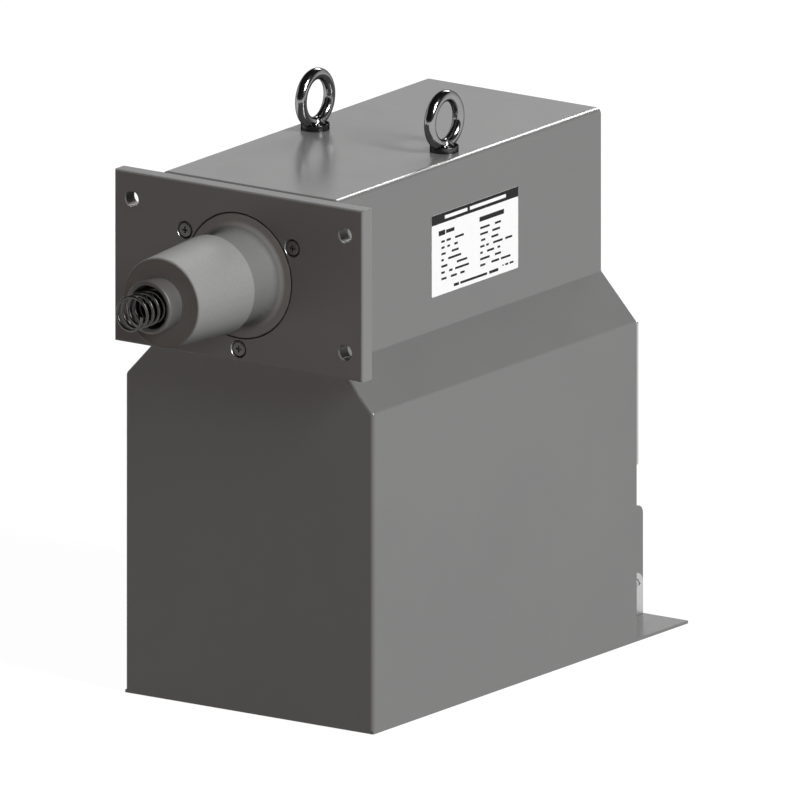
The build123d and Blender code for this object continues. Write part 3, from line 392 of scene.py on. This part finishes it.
# The finish of each material slot in the record
finishOfSlot = {
    "grey_paint": "greyPaint", "cast_resin": "castResin", "dark_contact": "darkContact",
    "spring_steel": "springSteel", "polished_steel": "polishedSteel", "bare_aluminium": "bareAluminium",
    "dark_screws": "darkScrews", "zinc_steel": "zincSteel", "core_steel": "coreSteel", "brass": "brass",
    "copper_winding": "copperWire", "black_rubber": "blackRubber", "lead_insulation": "leadCover",
    "moulded_black": "mouldedBlack", "pressboard": "pressboard", "label_sheet": "labelSheet",
}
for row in frame["record"]["subparts"]:
    shape = cadNodes[row["node"]].data
    shape.materials.clear()
    shape.materials.append(finishes[finishOfSlot[row["material_slot"]]])
# The mounting plate takes the lighter coat, painted light on the same grey paint
cadNodes["mounting_plate"].data.materials[0] = finishes["platePaintedLight"]


# Small helpers for modelling
facing = 0.9  # least cosine between a chosen face's normal and its direction


def pick(*pieces):
    bpy.ops.object.select_all(action="DESELECT")
    for piece in pieces:
        piece.select_set(True)
    bpy.context.view_layer.objects.active = pieces[0]


def placedPiece():
    bpy.ops.object.transform_apply(location=True, rotation=True, scale=True)
    return bpy.context.object


def joinPieces(pieces, name):
    pick(*pieces)
    bpy.ops.object.join()
    whole = bpy.context.object
    whole.name = name
    bpy.ops.object.select_all(action="DESELECT")
    return whole


def copyPiece(piece, shift):
    pick(piece)
    bpy.ops.object.duplicate()
    bpy.ops.transform.translate(value=shift)
    return placedPiece()


def selectFacing(piece, direction):
    bpy.ops.object.mode_set(mode="EDIT")
    bpy.ops.mesh.select_mode(type="FACE")
    bpy.ops.mesh.select_all(action="DESELECT")
    bpy.ops.object.mode_set(mode="OBJECT")
    for face in piece.data.polygons:
        face.select = face.normal.dot(Vector(direction)) > facing
    bpy.ops.object.mode_set(mode="EDIT")


def extrudeBy(move):
    bpy.ops.mesh.extrude_region_move(TRANSFORM_OT_translate={"value": move})


def addModifier(piece, kind, **options):
    modifier = piece.modifiers.new(kind.lower(), kind)
    for option, value in options.items():
        setattr(modifier, option, value)
    pick(piece)
    bpy.ops.object.modifier_apply(modifier=modifier.name)


# Printed bars on the rating label, as shares of its length and height from the upper left
labelSet = {
    "headerHeight": 0.122,
    "headerBars": [(0.15, 0.412), (0.44, 0.857)],
    "headerBarHeight": 0.042,
    "firstRow": 0.352,
    "rowStep": 0.0767,
    "rowHeight": 0.027,
    "rows": [
        [(0.11, 0.15), (0.17, 0.22), (0.27, 0.37), (0.56, 0.67), (0.73, 0.80)],
        [(0.11, 0.15), (0.18, 0.21), (0.26, 0.30), (0.56, 0.65), (0.70, 0.79)],
        [(0.11, 0.16), (0.23, 0.31), (0.57, 0.62), (0.69, 0.77)],
        [(0.11, 0.14), (0.19, 0.34), (0.56, 0.61), (0.63, 0.66), (0.71, 0.82), (0.85, 0.93)],
        [(0.11, 0.18), (0.29, 0.41), (0.56, 0.59), (0.64, 0.72), (0.76, 0.79)],
        [(0.11, 0.15), (0.20, 0.24), (0.27, 0.43), (0.56, 0.67), (0.73, 0.80)],
        [(0.11, 0.17), (0.22, 0.29), (0.33, 0.38), (0.56, 0.62), (0.69, 0.78), (0.80, 0.91)],
    ],
    # Rows with bars of several heights: the row's middle, then each bar's left, right and height
    "mixedRows": [
        (0.243, [(0.080, 0.155, 0.062), (0.165, 0.262, 0.044), (0.552, 0.836, 0.058)]),
        (0.935, [(0.255, 0.315, 0.036), (0.330, 0.640, 0.030), (0.665, 0.770, 0.036)]),
        (0.905, [(0.815, 0.835, 0.014), (0.850, 0.885, 0.024), (0.900, 0.945, 0.024)]),
    ],
    "inkThickness": 0.00004,
    "barRound": 0.0002,
    "barRoundMost": 1 / 3,  # of a thin bar's height
    "barRoundSteps": 2,
}


def addBar(left, right, middle, height, layer=1):
    low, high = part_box("rating_label")
    length, tall = high.y - low.y, (high.z - low.z) * height
    thick = labelSet["inkThickness"]
    bpy.ops.mesh.primitive_cube_add(
        size=1,
        location=(
            high.x + thick * (layer - 0.5),
            low.y + length * (left + right) / 2,
            high.z - (high.z - low.z) * middle,
        ),
        scale=(thick, length * (right - left), tall),
    )
    bar = placedPiece()
    bpy.ops.object.mode_set(mode="EDIT")
    bpy.ops.mesh.select_mode(type="EDGE")
    bpy.ops.mesh.select_all(action="DESELECT")
    bpy.ops.object.mode_set(mode="OBJECT")
    for edge in bar.data.edges:
        start, end = [bar.data.vertices[i].co for i in edge.vertices]
        edge.select = abs(start.x - end.x) > thick / 2
    bpy.ops.object.mode_set(mode="EDIT")
    barRound = min(labelSet["barRound"], tall * labelSet["barRoundMost"])
    bpy.ops.mesh.bevel(offset=barRound, segments=labelSet["barRoundSteps"])
    bpy.ops.object.mode_set(mode="OBJECT")
    return bar


def printLabel():
    header = labelSet["headerHeight"]
    ink = [addBar(0, 1, header / 2, header)]
    paper = []
    for left, right in labelSet["headerBars"]:
        paper.append(addBar(left, right, header / 2, labelSet["headerBarHeight"], layer=2))
    for i, bars in enumerate(labelSet["rows"]):
        for left, right in bars:
            middle = labelSet["firstRow"] + i * labelSet["rowStep"]
            ink.append(addBar(left, right, middle, labelSet["rowHeight"]))
    for middle, bars in labelSet["mixedRows"]:
        for left, right, height in bars:
            ink.append(addBar(left, right, middle, height))
    for pieces, name, finish in ((ink, "label_ink", "labelInk"), (paper, "label_header_bars", "labelSheet")):
        printed = joinPieces(pieces, name)
        printed.data.materials.append(finishes[finish])
        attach(printed, "root")


printLabel()
print("label printed")

# Forged ring bolts: the ring and its flared foot are fused and smoothed, the collar and shank stay crisp
eyeSet = {
    "ringRadius": 0.0165, "wireRadius": 0.0040, "centreHeight": 0.0210, "ringSteps": 96, "wireSteps": 32,
    "footRadii": (0.0072, 0.0060, 0.0052, 0.0046), "footHeights": (0.0038, 0.0048, 0.0060, 0.0074),
    "voxel": 0.0004, "smoothFactor": 0.5, "smoothTurns": 8,
    "sides": 72, "smoothAngle": 35,
    "collarRadius": 0.0096, "collarHeight": 0.0042, "collarRound": 0.0005, "collarRoundSteps": 4,
    "shankRadius": 0.0050, "shankLength": 0.0150, "shankRound": 0.0007, "shankRoundSteps": 2,
}


def forgeRing(centre, roof):
    bpy.ops.mesh.primitive_torus_add(
        major_radius=eyeSet["ringRadius"], minor_radius=eyeSet["wireRadius"],
        major_segments=eyeSet["ringSteps"], minor_segments=eyeSet["wireSteps"],
        location=centre, rotation=(0, math.pi / 2, 0),
    )
    ring = placedPiece()
    radii, heights = eyeSet["footRadii"], eyeSet["footHeights"]
    rise = heights[1] - heights[0]
    bpy.ops.mesh.primitive_cylinder_add(
        vertices=eyeSet["sides"], radius=radii[0], depth=rise,
        location=(centre[0], centre[1], roof + heights[0] + rise / 2),
    )
    foot = placedPiece()
    selectFacing(foot, (0, 0, 1))
    for i in range(1, len(radii)):
        if i > 1:
            extrudeBy((0, 0, heights[i] - heights[i - 1]))
        share = radii[i] / radii[i - 1]
        bpy.ops.transform.resize(value=(share, share, 1))
    bpy.ops.object.mode_set(mode="OBJECT")
    whole = joinPieces([ring, foot], "eye_ring")
    addModifier(whole, "REMESH", mode="VOXEL", voxel_size=eyeSet["voxel"], use_smooth_shade=True)
    addModifier(whole, "SMOOTH", factor=eyeSet["smoothFactor"], iterations=eyeSet["smoothTurns"])
    return whole


def turnCollar(centre, roof):
    tall = eyeSet["collarHeight"]
    bpy.ops.mesh.primitive_cylinder_add(
        vertices=eyeSet["sides"], radius=eyeSet["collarRadius"], depth=tall,
        location=(centre[0], centre[1], roof + tall / 2),
    )
    collar = placedPiece()
    selectFacing(collar, (0, 0, 1))
    bpy.ops.mesh.bevel(offset=eyeSet["collarRound"], segments=eyeSet["collarRoundSteps"])
    bpy.ops.object.mode_set(mode="OBJECT")
    selectFacing(collar, (0, 0, -1))
    bpy.ops.mesh.inset(thickness=eyeSet["collarRadius"] - eyeSet["shankRadius"])
    extrudeBy((0, 0, -eyeSet["shankLength"]))
    bpy.ops.mesh.bevel(offset=eyeSet["shankRound"], segments=eyeSet["shankRoundSteps"])
    bpy.ops.object.mode_set(mode="OBJECT")
    bpy.ops.object.shade_smooth_by_angle(angle=math.radians(eyeSet["smoothAngle"]))
    return collar


def makeEyeBolts():
    low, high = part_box("eye_bolt_left")
    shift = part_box("eye_bolt_right")[0] - low
    ringHeight = high.z - eyeSet["ringRadius"] - eyeSet["wireRadius"]
    centre = ((low.x + high.x) / 2, (low.y + high.y) / 2, ringHeight)
    roof = ringHeight - eyeSet["centreHeight"]
    ring, collar = forgeRing(centre, roof), turnCollar(centre, roof)
    ring.data.materials.append(finishes["polishedSteel"])
    # The collar takes the darkened steel, painted shade
    collar.data.materials.append(finishes["collarPaintedShade"])
    left = joinPieces([ring, collar], "eye_bolt_left_forged")
    right = copyPiece(left, shift)
    right.name = "eye_bolt_right_forged"
    for bolt, node in ((left, "eye_bolt_left"), (right, "eye_bolt_right")):
        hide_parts(node)
        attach(bolt, "root")


makeEyeBolts()
print("eye bolts forged")

# Three cross-head screws sunk in the plate, each in a bright turned cup
screwSet = {
    "turns": (30, 150, 270), "cadHeadRadius": 0.0060, "sides": 64, "sunk": 0.0001,
    "headRadius": 0.0048, "headDepth": 0.0040, "headRound": 0.0006, "headRoundSteps": 4, "headAngle": 30,
    "shankRadius": 0.0030, "crossLength": 0.0046, "crossWidth": 0.0013, "crossDepth": 0.0018,
    "cupTop": 0.0062, "cupBottom": 0.0050, "cupDepth": 0.0020, "cupThickness": 0.00004, "cupAngle": 40,
}


def addCutter(size, centre):
    bpy.ops.mesh.primitive_cube_add(size=1, location=centre, scale=size)
    return placedPiece()


def makeScrewHead(front, back):
    deep = screwSet["headDepth"]
    face = front + screwSet["sunk"]
    bpy.ops.mesh.primitive_cylinder_add(
        vertices=screwSet["sides"], radius=screwSet["headRadius"], depth=deep,
        location=(0, face + deep / 2, 0), rotation=(math.pi / 2, 0, 0),
    )
    head = placedPiece()
    selectFacing(head, (0, -1, 0))
    bpy.ops.mesh.bevel(offset=screwSet["headRound"], segments=screwSet["headRoundSteps"])
    bpy.ops.object.mode_set(mode="OBJECT")
    selectFacing(head, (0, 1, 0))
    bpy.ops.mesh.inset(thickness=screwSet["headRadius"] - screwSet["shankRadius"])
    extrudeBy((0, back - face - deep, 0))
    bpy.ops.object.mode_set(mode="OBJECT")
    span, wide, cut = screwSet["crossLength"], screwSet["crossWidth"], 2 * screwSet["crossDepth"]
    for size in ((span, cut, wide), (wide, cut, span)):
        cutter = addCutter(size, (0, face, 0))
        addModifier(head, "BOOLEAN", operation="DIFFERENCE", object=cutter, solver="EXACT")
        bpy.data.objects.remove(cutter)
    pick(head)
    bpy.ops.object.shade_smooth_by_angle(angle=math.radians(screwSet["headAngle"]))
    return head


# The cup is the inner side of a cone's open wall, so the wall is turned before it gets its thickness
def makeCup(front):
    bpy.ops.mesh.primitive_cone_add(
        vertices=screwSet["sides"], radius1=screwSet["cupBottom"], radius2=screwSet["cupTop"],
        depth=screwSet["cupDepth"], end_fill_type="NOTHING",
        location=(0, front + screwSet["sunk"] + screwSet["cupDepth"] / 2, 0), rotation=(math.pi / 2, 0, 0),
    )
    cup = placedPiece()
    bpy.ops.object.mode_set(mode="EDIT")
    bpy.ops.mesh.select_all(action="SELECT")
    bpy.ops.mesh.flip_normals()
    bpy.ops.object.mode_set(mode="OBJECT")
    addModifier(cup, "SOLIDIFY", thickness=screwSet["cupThickness"], offset=-1)
    bpy.ops.object.shade_smooth_by_angle(angle=math.radians(screwSet["cupAngle"]))
    return cup


def makeFlangeScrews():
    low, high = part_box("flange_screws")
    firstTurn = math.radians(screwSet["turns"][0])
    ringRadius = (high.x - screwSet["cadHeadRadius"]) / math.cos(firstTurn)
    head, cup = makeScrewHead(low.y, high.y), makeCup(low.y)
    head.data.materials.append(finishes["darkScrews"])
    cup.data.materials.append(finishes["zincSteel"])
    screw = joinPieces([head, cup], "flange_screw")
    whole = []
    for turn in screwSet["turns"]:
        angle = math.radians(turn)
        shift = (ringRadius * math.cos(angle), 0, coneAxis.z + ringRadius * math.sin(angle))
        whole.append(copyPiece(screw, shift))
    bpy.data.objects.remove(screw)
    screws = joinPieces(whole, "flange_screws_sunk")
    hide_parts("flange_screws")
    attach(screws, "root")


makeFlangeScrews()
print("flange screws made")

# Studio: a white floor, a large soft key lamp at the right, a strip behind for the folds and two weak fills
studioSet = {
    "floorSize": 400.0, "floorDrop": 0.0002, "floorGlow": 0.94, "floorColour": (0.10, 0.10, 0.10),
    "lamps": [
        {"name": "keyBox", "place": (6.30, -0.71, 4.27), "size": (2.1, 3.6), "power": 662.0,
         "colour": (1.0, 1.0, 1.0), "mirrored": True},
        {"name": "backStrip", "place": (-0.50, 2.13, 1.77), "size": (1.2, 0.45), "power": 25.0,
         "colour": (1.0, 1.0, 1.0), "mirrored": True},
        {"name": "topFill", "place": (-1.8, 0.2, 1.98), "size": (1.2, 0.9), "power": 16.0,
         "colour": (1.0, 1.0, 1.0), "mirrored": False},
        {"name": "frontFill", "place": (0.3, -2.6, 0.4), "size": (1.4, 1.0), "power": 3.2,
         "colour": (1.0, 0.46, 0.28), "mirrored": False},
    ],
    "aim": (0.0, 0.0, 0.18),
}


def addLamp(lampRow):
    data = bpy.data.lights.new(lampRow["name"], "AREA")
    data.shape = "RECTANGLE"
    data.size, data.size_y = lampRow["size"]
    data.energy = lampRow["power"]
    data.color = lampRow["colour"]
    lamp = bpy.data.objects.new(lampRow["name"], data)
    scene.collection.objects.link(lamp)
    lamp.location = lampRow["place"]
    lamp.rotation_mode = "QUATERNION"
    aim = Vector(studioSet["aim"]) - Vector(lampRow["place"])
    lamp.rotation_quaternion = aim.to_track_quat("-Z", "Y")
    lamp.visible_camera = False
    lamp.visible_glossy = lampRow["mirrored"]


def glossyOrThrough(tree, path):
    return combine(tree, "MAXIMUM", path.outputs["Is Glossy Ray"], path.outputs["Is Transmission Ray"])


# The floor glows white for the camera and for gloss only, and keeps the object's shadow
def layFloor():
    bpy.ops.mesh.primitive_plane_add(size=studioSet["floorSize"], location=(0, 0, -studioSet["floorDrop"]))
    floor = bpy.context.object
    floor.name = "studio_floor"
    material = bpy.data.materials.new("studioFloor")
    material.use_nodes = True
    tree = material.node_tree
    tree.nodes.clear()
    path = addNode(tree, "ShaderNodeLightPath")
    seen = combine(tree, "MAXIMUM", path.outputs["Is Camera Ray"], glossyOrThrough(tree, path))
    strength = combine(tree, "MULTIPLY", seen, studioSet["floorGlow"])
    glow = addNode(tree, "ShaderNodeEmission", {"Color": (1, 1, 1, 1), "Strength": strength})
    matt = addNode(tree, "ShaderNodeBsdfDiffuse", {"Color": (*studioSet["floorColour"], 1)})
    both = addNode(tree, "ShaderNodeAddShader", {0: glow.outputs[0], 1: matt.outputs[0]})
    out = addNode(tree, "ShaderNodeOutputMaterial")
    tree.links.new(both.outputs[0], out.inputs["Surface"])
    floor.data.materials.append(material)


# The camera sees white; gloss sees a low white wall behind at the left and a dark room above it
worldSet = {
    "fill": 0.03,  # what lights matt surfaces from all round
    "bright": 0.82, "dark": 0.02,
    "wallSide": (-0.57, 0.82, 0.0), "wallEdge": (-0.1, 0.3), "wallTop": (0.32, 0.44),
}


def lightWorld():
    world = bpy.data.worlds.new("studioWorld")
    scene.world = world
    world.use_nodes = True
    tree = world.node_tree
    tree.nodes.clear()
    path = addNode(tree, "ShaderNodeLightPath")
    gaze = addNode(tree, "ShaderNodeTexCoord").outputs["Generated"]
    height = addNode(tree, "ShaderNodeSeparateXYZ", {0: gaze}).outputs["Z"]
    side = addNode(tree, "ShaderNodeVectorMath", {
        0: gaze, 1: worldSet["wallSide"],
    }, operation="DOT_PRODUCT").outputs["Value"]
    below = spread(tree, height, 1, 0, *worldSet["wallTop"])
    behind = spread(tree, side, 0, 1, *worldSet["wallEdge"])
    wall = combine(tree, "MULTIPLY", below, behind)
    room = spread(tree, wall, worldSet["dark"], worldSet["bright"], 0, 1)
    fillOrRoom = addNode(tree, "ShaderNodeMix", {
        0: glossyOrThrough(tree, path), 2: worldSet["fill"], 3: room,
    }, data_type="FLOAT").outputs[0]
    strength = addNode(tree, "ShaderNodeMix", {
        0: path.outputs["Is Camera Ray"], 2: fillOrRoom, 3: 1.0,
    }, data_type="FLOAT").outputs[0]
    light = addNode(tree, "ShaderNodeBackground", {"Color": (1, 1, 1, 1), "Strength": strength})
    out = addNode(tree, "ShaderNodeOutputWorld")
    tree.links.new(light.outputs[0], out.inputs["Surface"])


layFloor()
lightWorld()
for lampRow in studioSet["lamps"]:
    addLamp(lampRow)
print("studio lit")
